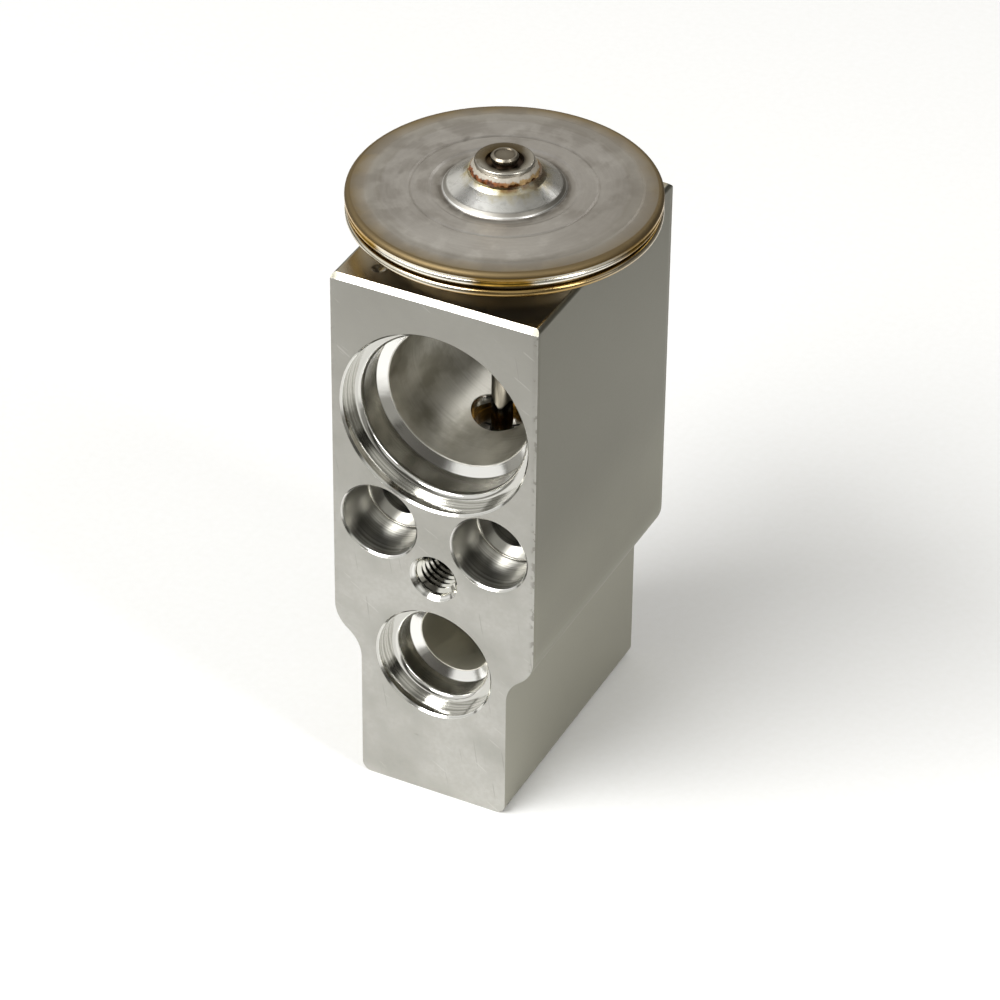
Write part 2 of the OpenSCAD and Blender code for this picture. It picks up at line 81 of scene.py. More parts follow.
def add(tree, kind, *inputs, **settings):
    """Adds one shader node with its settings; a kind in capitals is an operation of the Math node.
    Inputs stand in the order of the sockets, or in one dict by name or number (0, 6 and 7 for a
    Mix of two colours). Each is a value, an output, or a node for its first output in use."""
    if kind.isupper():
        kind, settings = "Math", {"operation": kind}
    made = tree.nodes.new("ShaderNode" + kind)
    for name, value in settings.items():
        setattr(made, name, value)
    named = inputs and isinstance(inputs[0], dict)
    for socket, value in inputs[0].items() if named else enumerate(inputs):
        if isinstance(value, bpy.types.Node):
            value = next(output for output in value.outputs if output.enabled)
        if isinstance(value, bpy.types.NodeSocket):
            tree.links.new(value, made.inputs[socket])
        else:
            made.inputs[socket].default_value = value
    return made


smooth = {"interpolation_type": "SMOOTHSTEP"}


def colour_ramp(tree, value, stops):
    """Colour for a value from 0 to 1, blended between (position, hex) stops."""
    ramp = add(tree, "ValToRGB", value)
    elements = ramp.color_ramp.elements
    elements[0].position, elements[0].color = stops[0][0], linear(stops[0][1])
    elements[1].position, elements[1].color = stops[-1][0], linear(stops[-1][1])
    for position, code in stops[1:-1]:
        elements.new(position).color = linear(code)
    return ramp


def new_material(name):
    """An empty material's tree, its output node and itself."""
    material = bpy.data.materials.new(name)
    material.use_nodes = True
    material.node_tree.nodes.clear()
    return material.node_tree, add(material.node_tree, "OutputMaterial"), material


def new_piece(name, points, faces, smooth=True):
    """A mesh object at the origin from arrays of points and of faces with equal corner counts."""
    mesh = bpy.data.meshes.new(name)
    mesh.from_pydata(np.asarray(points, float).tolist(), [], np.asarray(faces).tolist())
    mesh.polygons.foreach_set("use_smooth", [smooth] * len(mesh.polygons))
    made = bpy.data.objects.new(name, mesh)
    bpy.context.collection.objects.link(made)
    return made


# The paper is white as far as the picture reaches and grey beyond: the white part is a squared oval
# that lies square to the camera, with half its width and length as the mapping's scale.
floor = new_piece("floor", [(-4, -4, 0), (4, -4, 0), (4, 4, 0), (-4, 4, 0)], [(0, 1, 2, 3)])
tree, output, material = new_material("matt white backdrop paper")
place = add(tree, "TexCoord").outputs["Object"]
fibre = add(tree, "TexNoise", {"Vector": place, "Scale": 900.0, "Detail": 2.0})
oval = add(tree, "Mapping", {"Vector": place, "Location": (-0.0646, 0.0629, 0),
                             "Scale": (0.125, 0.168, 1), "Rotation": (0, 0, azimuth)},
           vector_type="TEXTURE")
oval = add(tree, "SeparateXYZ", oval).outputs
squared = add(tree, "ADD", add(tree, "POWER", oval[0], 4.0), add(tree, "POWER", oval[1], 4.0))
fade = add(tree, "MapRange", add(tree, "POWER", squared, 0.25), 1.0, 1.6, **smooth)
tone = add(tree, "Mix", {0: fibre, 6: linear("#f7f7f6"), 7: linear("#fdfdfd")}, data_type="RGBA")
tone = add(tree, "Mix", {0: fade, 6: tone, 7: linear("#83827e")}, data_type="RGBA")
paper = add(tree, "BsdfDiffuse", tone)
tree.links.new(paper.outputs[0], output.inputs["Surface"])
floor.data.materials.append(material)

world = bpy.data.worlds.new("studio")
bpy.context.scene.world = world
world.use_nodes = True
tree = world.node_tree
tree.nodes.clear()
towards = add(tree, "TexCoord").outputs["Generated"]
height = add(tree, "SeparateXYZ", towards).outputs["Z"]
room = colour_ramp(tree, height, [(0.0, "#6d6b66"), (0.35, "#4b4945")])
# Each patch: degrees to the right of the front, degrees up, inner and outer radius in degrees.
for turn, up_angle, inner, outer, colour in (
        (-54, 17, 28, 40, "#f4f4f2"), (-116, 22, 12, 26, "#dcdbd7"),
        (-154, 34, 18, 42, "#bfbcb5"), (10, 72, 14, 38, "#d2d2ce"), (112, 52, 8, 26, "#b9b8b3"),
        (36, 30, 8, 20, "#d6d6d2"), (34, -1, 10, 20, "#262522"), (90, 6, 8, 20, "#efefed")):
    turn, up_angle = np.radians([turn, up_angle])
    aim = (np.sin(turn) * np.cos(up_angle), -np.cos(turn) * np.cos(up_angle), np.sin(up_angle))
    near = add(tree, "VectorMath", towards, aim, operation="DOT_PRODUCT")
    part = add(tree, "MapRange", near, *np.cos(np.radians([outer, inner])), **smooth)
    room = add(tree, "Mix", {0: part, 6: room, 7: linear(colour)}, data_type="RGBA")
background = add(tree, "Background", {"Color": room, "Strength": 1.0})
tree.links.new(background.outputs[0], add(tree, "OutputWorld").inputs["Surface"])


def softbox(name, turn, rise, distance, width, depth, power):
    """A rectangular lamp at an angle round the object and above the floor, aimed at its middle."""
    turn, rise = np.radians([turn, rise])
    middle = Vector((0, 0, 0.045))
    away = Vector((np.sin(turn) * np.cos(rise), -np.cos(turn) * np.cos(rise), np.sin(rise)))
    data = bpy.data.lights.new(name, "AREA")
    data.shape, data.size, data.size_y, data.energy = "RECTANGLE", width, depth, power
    lamp = bpy.data.objects.new(name, data)
    lamp.location = middle + away * distance
    lamp.rotation_euler = away.to_track_quat("Z", "Y").to_euler()
    bpy.context.collection.objects.link(lamp)


# Degrees to the right of the front and up, then metres away, wide and high, and watts.
softbox("main_softbox", -29, 49, 1.1, 0.75, 0.5, 10.5)
softbox("right_strip", 75, 35, 1.3, 0.25, 0.9, 4.5)
softbox("rear_fill", 165, 40, 1.5, 0.5, 0.3, 1)


# Block: one length of extruded aluminium alloy, sawn and face-milled on its two port faces, then
# bored. Top, sides and sole are the extrusion's skin, satin with faint die lines; the milled faces
# are satin with light scratches, the bores bright with tool rings, and the passage is duller.
# Sizes in millimetres as the part's source has them, the block's own from its box.
half_width, half_depth, block_h = (1000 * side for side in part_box("valve_body")[1])
foot_half, shoulder_top = 11.0, 28.2
suction_z, suction_r, suction_bore_r, suction_cone_r = 61.5, 10.5, 12.0, 11.3
inlet_z, liquid_r, liquid_bore_r, liquid_cone_r = 22.1, 5.2, 6.65, 5.95
fixing_x, fixing_z, fixing_head_r, fixing_head_depth = 8.2, 43.4, 5.5, 7.4
adjuster_mouth_r, sole_h = 6.9, 1.2


def object_millimetres(tree):
    """Object coordinates in millimetres, as a vector and as its three parts."""
    coordinates = add(tree, "TexCoord").outputs["Object"]
    millimetres = add(tree, "VectorMath", {0: coordinates, "Scale": 1000.0}, operation="SCALE")
    return millimetres, *add(tree, "SeparateXYZ", millimetres).outputs


def noise(tree, vector, scale, detail=2.0, stretch=(1, 1, 1)):
    """Fractal noise whose grains are 1/scale millimetres, drawn out along the axes by stretch."""
    mapping = add(tree, "Mapping", {"Vector": vector, "Scale": stretch})
    return add(tree, "TexNoise", {"Vector": mapping, "Scale": scale, "Detail": detail})


def nicks(tree, vector, scale, size, stretch=(1, 1, 1)):
    """Scattered small dents: one near the middle of some of the cells of a Voronoi pattern."""
    mapping = add(tree, "Mapping", {"Vector": vector, "Scale": stretch})
    cells = add(tree, "TexVoronoi", {"Vector": mapping, "Scale": scale})
    chosen = add(tree, "SeparateXYZ", cells.outputs["Color"])
    dent = add(tree, "MapRange", cells.outputs["Distance"], size * 0.4, size, 1.0, 0.0, **smooth)
    return add(tree, "MULTIPLY", dent, add(tree, "GREATER_THAN", chosen, 0.6))


def finish_metal(tree, output, colour, roughness, height, depth):
    """A metal surface with a bump of the given depth in metres for a height of one."""
    bump = add(tree, "Bump", {"Height": height, "Strength": 1.0, "Distance": depth})
    surface = add(tree, "BsdfPrincipled", {"Base Color": colour, "Metallic": 1.0,
                                           "Roughness": roughness, "Normal": bump})
    tree.links.new(surface.outputs[0], output.inputs["Surface"])


def dress(node, material):
    """Puts a material on a CAD node in place of its plain one."""
    for slot in nodes[node].material_slots:
        slot.material = material


def axis_radius(tree, x, y):
    """Distance from the upright axis, in millimetres."""
    return add(tree, "SQRT",
               add(tree, "ADD", add(tree, "MULTIPLY", x, x), add(tree, "MULTIPLY", y, y)))


# Masks: die-drawn skin, milled face or bore, and the parts of the bores that differ in finish; the
# sealing walls and the counterbores' left walls also carry painted shade.
tree, output, aluminium = new_material("extruded and machined aluminium alloy")
place, x, y, z = object_millimetres(tree)
across = add(tree, "ABSOLUTE", x)
along = add(tree, "ABSOLUTE", y)
inside = add(tree, "LESS_THAN", along, half_depth - 0.03)
upper_side = add(tree, "GREATER_THAN", across, half_width - 0.95)
foot_side = add(tree, "MULTIPLY", add(tree, "GREATER_THAN", across, foot_half - 0.1),
                add(tree, "LESS_THAN", z, shoulder_top))
side = add(tree, "MULTIPLY", add(tree, "MAXIMUM", upper_side, foot_side), inside)
top = add(tree, "MULTIPLY", add(tree, "GREATER_THAN", z, block_h - 0.03), inside)
sole = add(tree, "MULTIPLY", add(tree, "LESS_THAN", z, sole_h),
           add(tree, "GREATER_THAN", axis_radius(tree, x, y), adjuster_mouth_r))
sole = add(tree, "MULTIPLY", sole, inside)
skin = add(tree, "MAXIMUM", add(tree, "MAXIMUM", side, top), sole)
face = add(tree, "SUBTRACT", 1.0, inside)
bored = add(tree, "SUBTRACT", 1.0, add(tree, "MAXIMUM", skin, face))
from_suction = axis_radius(tree, x, add(tree, "SUBTRACT", z, suction_z))
passage = add(tree, "LESS_THAN", from_suction, suction_r + 0.15)
from_screws = axis_radius(tree, add(tree, "SUBTRACT", across, fixing_x),
                          add(tree, "SUBTRACT", z, fixing_z))
counterbore = add(tree, "LESS_THAN", from_screws, fixing_head_r + 0.1)
from_inlet = axis_radius(tree, x, add(tree, "SUBTRACT", z, inlet_z))
deep = add(tree, "LESS_THAN", from_inlet, liquid_r + 0.1)
seal_wall = add(tree, "MAXIMUM", add(tree, "COMPARE", from_suction, suction_bore_r, 0.06),
                add(tree, "COMPARE", from_inlet, liquid_bore_r, 0.06))
seat_cone = add(tree, "MAXIMUM", add(tree, "COMPARE", from_suction, suction_cone_r, 0.62),
                add(tree, "COMPARE", from_inlet, liquid_cone_r, 0.62))
# The counterbores' left walls: a mask for painted shade.
in_bore = add(tree, "SUBTRACT", x, add(tree, "MULTIPLY", add(tree, "SIGN", x), fixing_x))
shaded_wall = add(tree, "MapRange", in_bore, -5.2, -2.6, 1.0, 0.0, **smooth)
edges = add(tree, "MULTIPLY",
            add(tree, "MapRange", across, half_width - 0.8, half_width - 0.05, **smooth),
            add(tree, "MapRange", along, half_depth - 0.85, half_depth - 0.05, **smooth))
worn = add(tree, "MULTIPLY", add(tree, "MULTIPLY", edges, face),
           add(tree, "MapRange", noise(tree, place, 0.9, 4), 0.56, 0.61, **smooth))
worn = add(tree, "MULTIPLY", worn,
           add(tree, "MapRange", x, -half_width, half_width, 0.2, 1.0, **smooth))

# Patterns: the scale is in grains per millimetre, drawn out along the die or the cutter's path.
cloud = noise(tree, place, 0.12, 4)
grain = noise(tree, place, 3.0, 3)
die_lines = noise(tree, place, 1.0, 3, (1.6, 0.03, 1.6))
mill_lines = noise(tree, place, 1.0, 3, (0.10, 1.0, 1.8))
tool_lines = noise(tree, add(tree, "CombineXYZ", {1: y}), 2.4, 4)
speckle = noise(tree, place, 1.6, 4)
slanted = add(tree, "VectorRotate", {"Vector": place, "Axis": (0, 1, 0), "Angle": 0.16})
steeper = add(tree, "VectorRotate", {"Vector": place, "Axis": (0, 1, 0), "Angle": -0.55})
scratches = add(tree, "MapRange", noise(tree, slanted, 1.0, 1, (2.2, 0.2, 0.09)), 0.7, 0.74,
                **smooth)
scratches = add(tree, "MULTIPLY", face, scratches)
rubbed = add(tree, "MapRange", noise(tree, steeper, 1.0, 1, (0.2, 0.3, 2.1)), 0.71, 0.75, **smooth)
rubbed = add(tree, "MULTIPLY", face, rubbed)
streaks = add(tree, "MULTIPLY", tool_lines,
              add(tree, "MapRange", noise(tree, place, 0.22, 3), 0.4, 0.6, **smooth))
blotches = noise(tree, place, 0.28, 4, (1.0, 0.6, 1.0))
dents = nicks(tree, place, 0.16, 0.07, (0.6, 1.0, 1.6))

# Height, in steps of 0.004 mm.
height = add(tree, "MULTIPLY", grain, 0.35)
height = add(tree, "MULTIPLY_ADD", add(tree, "MULTIPLY", die_lines, side), 1.2, height)
height = add(tree, "MULTIPLY_ADD", add(tree, "MULTIPLY", mill_lines, face), 1.4, height)
height = add(tree, "MULTIPLY_ADD", dents, -9.0, height)
height = add(tree, "MULTIPLY_ADD", add(tree, "MULTIPLY", noise(tree, place, 0.9, 3), edges), -30.0,
             height)
height = add(tree, "MULTIPLY_ADD", noise(tree, place, 0.6, 3), 3.0, height)
height = add(tree, "MULTIPLY", height, add(tree, "SUBTRACT", 1.0, bored))
height = add(tree, "MULTIPLY_ADD", add(tree, "MULTIPLY", tool_lines, bored),
             add(tree, "MULTIPLY_ADD", passage, 1.2, 1.2), height)
height = add(tree, "MULTIPLY_ADD", add(tree, "MULTIPLY", streaks, bored), 4.0, height)

# Colour and roughness: the milled faces first, then skin, top, bores and the passage.
colour = add(tree, "Mix", {0: add(tree, "MapRange", cloud, 0.3, 0.7, **smooth),
                           6: linear("#abaaa4"), 7: linear("#c5c4bf")}, data_type="RGBA")
colour = add(tree, "Mix", {0: add(tree, "MapRange", speckle, 0.3, 0.7, 0.0, 0.5, **smooth),
                           6: colour, 7: linear("#b5b3ac")}, data_type="RGBA")
# Painted shade: the milled faces are darker towards the top.
colour = add(tree, "Mix", {0: add(tree, "MapRange", z, 30.0, 78.0, 0.0, 0.75, **smooth), 6: colour,
                           7: linear("#a4a29b")}, data_type="RGBA")
colour = add(tree, "Mix", {0: add(tree, "MULTIPLY", mill_lines, 0.2), 6: colour,
                           7: linear("#aeaba2")}, data_type="RGBA")
colour = add(tree, "Mix", {0: add(tree, "MULTIPLY", dents, 0.5), 6: colour, 7: linear("#85827a")},
             data_type="RGBA")
colour = add(tree, "Mix", {0: add(tree, "MULTIPLY", scratches, 0.4), 6: colour,
                           7: linear("#8f8c84")}, data_type="RGBA")
colour = add(tree, "Mix", {0: add(tree, "MULTIPLY", rubbed, 0.3), 6: colour, 7: linear("#dbdad5")},
             data_type="RGBA")
colour = add(tree, "Mix", {0: add(tree, "MULTIPLY", worn, 0.6), 6: colour, 7: linear("#7b786f")},
             data_type="RGBA")
# Skin: a darker base that partly stands in for the sides' shade, painted darker towards the top as
# shade and lighter near the foot as light.
skin_tone_and_shade = add(tree, "Mix", {0: cloud, 6: linear("#908e82"), 7: linear("#999789")},
                data_type="RGBA")
skin_tone_and_shade = add(tree, "Mix", {0: add(tree, "MapRange", z, 33.0, 50.0, 0.0, 0.8, **smooth),
                              6: skin_tone_and_shade, 7: linear("#807e73")}, data_type="RGBA")
skin_tone_and_shade = add(tree, "Mix", {0: add(tree, "MapRange", z, 30.0, 24.0, **smooth), 6: skin_tone_and_shade,
                              7: linear("#aaa89b")}, data_type="RGBA")
colour = add(tree, "Mix", {0: skin, 6: colour, 7: skin_tone_and_shade}, data_type="RGBA")
colour = add(tree, "Mix", {0: top, 6: colour, 7: linear("#c6bda9")}, data_type="RGBA")
shine = add(tree, "Mix", {0: add(tree, "MapRange", tool_lines, 0.35, 0.65, **smooth),
                          6: linear("#bcbbb5"), 7: linear("#f0efeb")}, data_type="RGBA")
shine = add(tree, "Mix", {0: deep, 6: shine, 7: linear("#f3f0e2")}, data_type="RGBA")
shine = add(tree, "Mix", {0: seat_cone, 6: shine, 7: linear("#f3f2ee")}, data_type="RGBA")
# Painted shade: the sealing walls are darker, with blotches.
seal_wall_shade = add(tree, "Mix", {0: add(tree, "MapRange", blotches, 0.35, 0.65, **smooth),
                           6: linear("#8f8d85"), 7: linear("#aeaca3")}, data_type="RGBA")
shine = add(tree, "Mix", {0: seal_wall, 6: shine, 7: seal_wall_shade}, data_type="RGBA")
# Painted shade: the counterbores' left walls are darker.
shine = add(tree, "Mix", {0: add(tree, "MULTIPLY", counterbore, shaded_wall), 6: shine,
                          7: linear("#9b9993")}, data_type="RGBA")
colour = add(tree, "Mix", {0: bored, 6: colour, 7: shine}, data_type="RGBA")
dull = add(tree, "Mix", {0: add(tree, "MapRange", blotches, 0.35, 0.65, **smooth),
                         6: linear("#b9b6aa"), 7: linear("#e2dfd5")}, data_type="RGBA")
dull = add(tree, "Mix", {0: streaks, 6: dull, 7: linear("#f2f0e8")}, data_type="RGBA")
colour = add(tree, "Mix", {0: add(tree, "MULTIPLY", passage, bored), 6: colour, 7: dull},
             data_type="RGBA")
roughness = add(tree, "MULTIPLY_ADD", face, 0.44, add(tree, "MULTIPLY", skin, 0.4))
roughness = add(tree, "MULTIPLY_ADD", top, -0.16, roughness)
bore_rough = add(tree, "MULTIPLY_ADD", passage, 0.22, 0.12)
bore_rough = add(tree, "MULTIPLY_ADD", add(tree, "MULTIPLY", passage, blotches), 0.1, bore_rough)
bore_rough = add(tree, "MULTIPLY_ADD", counterbore, 0.16, bore_rough)
bore_rough = add(tree, "MULTIPLY_ADD", seal_wall, 0.14, bore_rough)
bore_rough = add(tree, "MULTIPLY_ADD", deep, 0.35, bore_rough)
roughness = add(tree, "MULTIPLY_ADD", bored, bore_rough, roughness)
uneven = add(tree, "MULTIPLY", add(tree, "SUBTRACT", grain, 0.5), add(tree, "SUBTRACT", 1.0, bored))
roughness = add(tree, "MULTIPLY_ADD", uneven, 0.08, roughness)
finish_metal(tree, output, colour, roughness, height, 0.000004)
dress("valve_body", aluminium)


# Flange thread: an M6 thread tapped into the block between the two fixing holes, 1 mm pitch.
# The solid has the plain hole at the thread's outside radius; this is the crest that stands in it.
def thread(name, outer, inner, pitch, start, end, flank=0.40, crest=0.05, buried=0.02, sides=120):
    """A helical ridge inside a hole along +Y: a trapezium is carried round the hole's wall while
    it advances one pitch a turn; it grows from nothing in its first half turn and fades in its
    last, with a cap at each end and its back just inside the wall. A point is (inner or outer
    radius, angle, place along the hole), and flank and crest are shares of the pitch."""
    turns = (end - start) / pitch
    t = np.linspace(0, turns, int(turns * sides) + 1)[:, None]
    grow = np.clip(np.minimum(t, turns - t) / 0.5, 0, 1)
    tip = outer - (outer - inner) * grow
    root = np.full_like(tip, outer + buried)
    radii = np.concatenate([root, tip, tip, root], axis=1)
    along = start + t * pitch + np.array([[-flank, -crest, crest, flank]]) * pitch
    angle = 2 * np.pi * t
    points = np.stack([radii * np.cos(angle), along, radii * np.sin(angle)], axis=2)
    count, wide = points.shape[:2]
    index = np.arange(count * wide).reshape(count, wide)
    beside = np.roll(index, -1, axis=1)
    faces = np.stack([index[:-1], index[1:], beside[1:], beside[:-1]], axis=2).reshape(-1, 4)
    faces = np.concatenate([faces, index[:1], index[-1:, ::-1]])
    return new_piece(name, points.reshape(-1, 3) / 1000, faces, smooth=False)


def turned_metal(name, code, second, roughness, grain=2.0, depth=0.000003, variation=0.1):
    """A turned, ground or drawn metal: two near tones in soft clouds, fine grain in its height."""
    tree, output, material = new_material(name)
    place = object_millimetres(tree)[0]
    fine = noise(tree, place, grain, 3)
    colour = add(tree, "Mix", {0: noise(tree, place, 0.5, 3), 6: linear(code), 7: linear(second)},
                 data_type="RGBA")
    rough = add(tree, "MULTIPLY_ADD", add(tree, "SUBTRACT", fine, 0.5), variation, roughness)
    finish_metal(tree, output, colour, rough, fine, depth)
    return material


flange_thread = thread("flange_hole_thread", 3.0, 2.45, pitch=1.0, start=0.9, end=11.4)
flange_hole_z = 36.6
flange_thread.data.transform(Matrix.Translation((0, -half_depth / 1000, flange_hole_z / 1000)))
flange_thread.data.materials.append(
    turned_metal("tapped aluminium thread", "#e4e3db", "#d2d0c6", 0.1))
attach(flange_thread, "block")


# Counterbore corners: the cutter's rounded nose left a small fillet between each counterbore's
# wall and its floor, which shows as a bright arc. It is the block's own aluminium.
def corner_fillet(name, x, z, wall, floor_y, nose, buried=0.01, steps=160, bends=8):
    """A ring in the corner of a blind hole along +Y: a quarter circle of the nose radius joins
    wall and floor, and a corner just inside the metal closes the section. A point is (radius,
    angle round the hole's axis, depth); radius = wall - nose * (1 - cos b), depth = floor
    - nose * (1 - sin b)."""
    b = np.linspace(0, np.pi / 2, bends)
    radius = np.concatenate([wall - nose * (1 - np.cos(b)), [wall + buried]])
    depth = np.concatenate([floor_y - nose * (1 - np.sin(b)), [floor_y + buried]])
    angle = np.linspace(0, 2 * np.pi, steps, endpoint=False)[:, None]
    points = np.stack([x + radius * np.cos(angle), depth + 0 * angle,
                       z + radius * np.sin(angle)], axis=2)
    index = np.arange(steps * (bends + 1)).reshape(steps, bends + 1)
    after, beside = np.roll(index, -1, axis=0), np.roll(index, -1, axis=1)
    faces = np.stack([index, after, np.roll(after, -1, axis=1), beside], axis=2).reshape(-1, 4)
    return new_piece(name, points.reshape(-1, 3) / 1000, faces)


bright_cut = turned_metal("bright-cut aluminium", "#c9c7be", "#b5b3a9", 0.22)
for name, x in (("counterbore_corner_left", -fixing_x), ("counterbore_corner_right", fixing_x)):
    corner = corner_fillet(name, x, fixing_z, fixing_head_r, fixing_head_depth - half_depth, 0.3)
    corner.data.materials.append(bright_cut)
    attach(corner, "block")


# Head: two stainless discs pressed from sheet and seam-welded at their edge. The sheet is dull
# and rolled, the weld left a brown band and a straw edge with a painted pale highlight, and the
# cone in the middle is brighter where the press drew it. Round the nipple the cone is stained
# yellow and brown.
def by_radius(tree, radius, stops, reach=22.0):
    """Colour along the radius in millimetres, from (radius, hex) pairs out to the reach."""
    return colour_ramp(tree, add(tree, "DIVIDE", radius, reach),
                       [(position / reach, code) for position, code in stops])


def between(tree, value, start, full, fading, end):
    """A soft window: rises from start to full and falls again from fading to end."""
    return add(tree, "MULTIPLY", add(tree, "MapRange", value, start, full, **smooth),
               add(tree, "MapRange", value, fading, end, 1.0, 0.0, **smooth))


def painted_highlight_arcs(tree, turn):
    """The two arcs of the weld's edge, by angle from the front, that are painted pale as a
    highlight.
    """
    return add(tree, "MAXIMUM", between(tree, turn, -0.5, -0.36, 0.2, 0.32),
               between(tree, turn, 0.6, 0.72, 1.15, 1.38))


tree, output, head_sheet = new_material("pressed stainless sheet with weld tint")
place, x, y, z = object_millimetres(tree)
radius = axis_radius(tree, x, y)
smudge = noise(tree, place, 0.22, 4)
fine = noise(tree, place, 2.5, 3)
# Flat: tint that deepens towards the rim, painted shade in the pressed groove round the cone's
# foot and along the pressed ring, wipe marks and rubs, painted light towards the front and painted
# shade towards the right.
wander = add(tree, "MULTIPLY", add(tree, "SUBTRACT", noise(tree, place, 0.35, 3), 0.5), 1.1)
front = add(tree, "MULTIPLY_ADD", x, np.sin(azimuth), add(tree, "MULTIPLY", y, -np.cos(azimuth)))
shift = add(tree, "MapRange", front, -6.0, 19.0, 0.0, 0.5, **smooth)
tinted = add(tree, "SUBTRACT", add(tree, "ADD", radius, wander), shift)
colour = by_radius(tree, tinted, [
    (8.0, "#c8c4bf"), (16.0, "#c8c4bf"), (16.4, "#bab5ad"), (17.3, "#c4c0b9"), (17.9, "#cbc6bd"),
    (18.5, "#bfb5a5"), (19.3, "#b2a48b"), (19.8, "#a6926c"), (20.2, "#a08c66"), (22.0, "#a08c62")])
# Painted shade: darker rings round the cone's foot and along the pressed ring.
painted_crease_shade = by_radius(tree, radius, [(8.0, "#ffffff"), (8.3, "#8a8680"), (8.6, "#a5a19b"),
                                  (8.95, "#dddbd7"), (9.4, "#ffffff"), (12.1, "#ffffff"),
                                  (12.4, "#dddbd7"), (12.7, "#ffffff"), (22.0, "#ffffff")])
colour = add(tree, "Mix", {0: 1.0, 6: colour, 7: painted_crease_shade}, data_type="RGBA",
             blend_type="MULTIPLY")
polar = add(tree, "CombineXYZ", {0: add(tree, "MULTIPLY", add(tree, "ARCTAN2", y, x), 4.0),
                                 1: add(tree, "MULTIPLY", radius, 2.2)})
arcs = noise(tree, polar, 1.0, 3)
rubs = nicks(tree, place, 0.15, 0.11, (1.5, 0.6, 1.0))
colour = add(tree, "Mix", {0: add(tree, "MapRange", smudge, 0.42, 0.62, 0.0, 0.45, **smooth),
                           6: colour, 7: linear("#968f86")}, data_type="RGBA")
open_flat = add(tree, "MapRange", tinted, 16.6, 17.6, 1.0, 0.0, **smooth)
handled = noise(tree, place, 0.45, 3, (1.0, 0.7, 1.0))
marks_and_painted_light = add(tree, "MULTIPLY_ADD", add(tree, "MapRange", arcs, 0.4, 0.65, **smooth), 0.13,
            add(tree, "MapRange", handled, 0.5, 0.68, 0.0, 0.3, **smooth))
# Painted light: lighter towards the front, added to the wipe marks and rubs.
marks_and_painted_light = add(tree, "ADD", marks_and_painted_light, add(tree, "MapRange", front, 5.0, 15.0, 0.0, 0.55, **smooth))
colour = add(tree, "Mix", {0: add(tree, "MULTIPLY", marks_and_painted_light, open_flat), 6: colour,
                           7: linear("#e6e3de")}, data_type="RGBA")
# Painted shade: darker towards the right.
colour = add(tree, "Mix", {0: add(tree, "MapRange", x, 7.0, 17.0, 0.0, 0.45, **smooth), 6: colour,
                           7: linear("#9d978e")}, data_type="RGBA")
colour = add(tree, "Mix", {0: add(tree, "MULTIPLY", fine, 0.2), 6: colour, 7: linear("#a8a29b")},
             data_type="RGBA")
colour = add(tree, "Mix", {0: add(tree, "MULTIPLY", rubs, 0.45), 6: colour, 7: linear("#8a837b")},
             data_type="RGBA")
# Cone: bright, stained yellow round the nipple, with a dark line at its foot and painted shade
# towards the right.
on_cone = add(tree, "MapRange", radius, 8.15, 8.25, 1.0, 0.0, **smooth)
stain = noise(tree, place, 0.9, 4)
halo = add(tree, "MULTIPLY_ADD", add(tree, "SUBTRACT", stain, 0.5), 2.6, radius)
halo = add(tree, "SUBTRACT", halo, add(tree, "MapRange", x, -3.0, 4.5, 0.0, 0.9, **smooth))
cone = by_radius(tree, halo, [
    (3.5, "#86592f"), (4.1, "#ab8c56"), (4.6, "#cfc29a"), (5.2, "#e4dfd0"), (5.9, "#f0efeb"),
    (22.0, "#f0efec")])
cone = add(tree, "Mix", {0: add(tree, "MapRange", stain, 0.52, 0.74, 0.0, 0.5, **smooth), 6: cone,
                         7: linear("#b9b7b2")}, data_type="RGBA")
# Painted shade: the cone is darker towards the right.
cone = add(tree, "Mix", {0: add(tree, "MapRange", x, 0.5, 5.5, 0.0, 0.5, **smooth), 6: cone,
                         7: linear("#9d9b95")}, data_type="RGBA")
foot_line = by_radius(tree, radius, [(7.5, "#ffffff"), (7.68, "#a5a29d"), (8.0, "#b3b0ab"),
                                     (8.08, "#ffffff"), (22.0, "#ffffff")])
cone = add(tree, "Mix", {0: 1.0, 6: cone, 7: foot_line}, data_type="RGBA",
           blend_type="MULTIPLY")
colour = add(tree, "Mix", {0: on_cone, 6: colour, 7: cone}, data_type="RGBA")
# Rim: tan over the rounding; below it gilt, except in two arcs where the pale band shows as a
# painted highlight.
rim_foot = 85.95
above = add(tree, "SUBTRACT", z, rim_foot)
# Painted highlight: the pale part of this band, low on the rounding.
band = colour_ramp(tree, above, [
    (0.0, "#e3d8bb"), (0.04, "#e9dfc4"), (0.27, "#f8f4ea"), (0.33, "#a98743"), (0.39, "#6f5d3e"),
    (0.97, "#877657")])
at_edge = add(tree, "MapRange", radius, 20.0, 20.25, **smooth)
turn = add(tree, "ARCTAN2", x, add(tree, "MULTIPLY", y, -1.0))
ragged = noise(tree, add(tree, "CombineXYZ", {0: add(tree, "MULTIPLY", turn, 3.0)}), 1.0, 4)
around = add(tree, "MULTIPLY_ADD", add(tree, "SUBTRACT", ragged, 0.5), 0.35, turn)
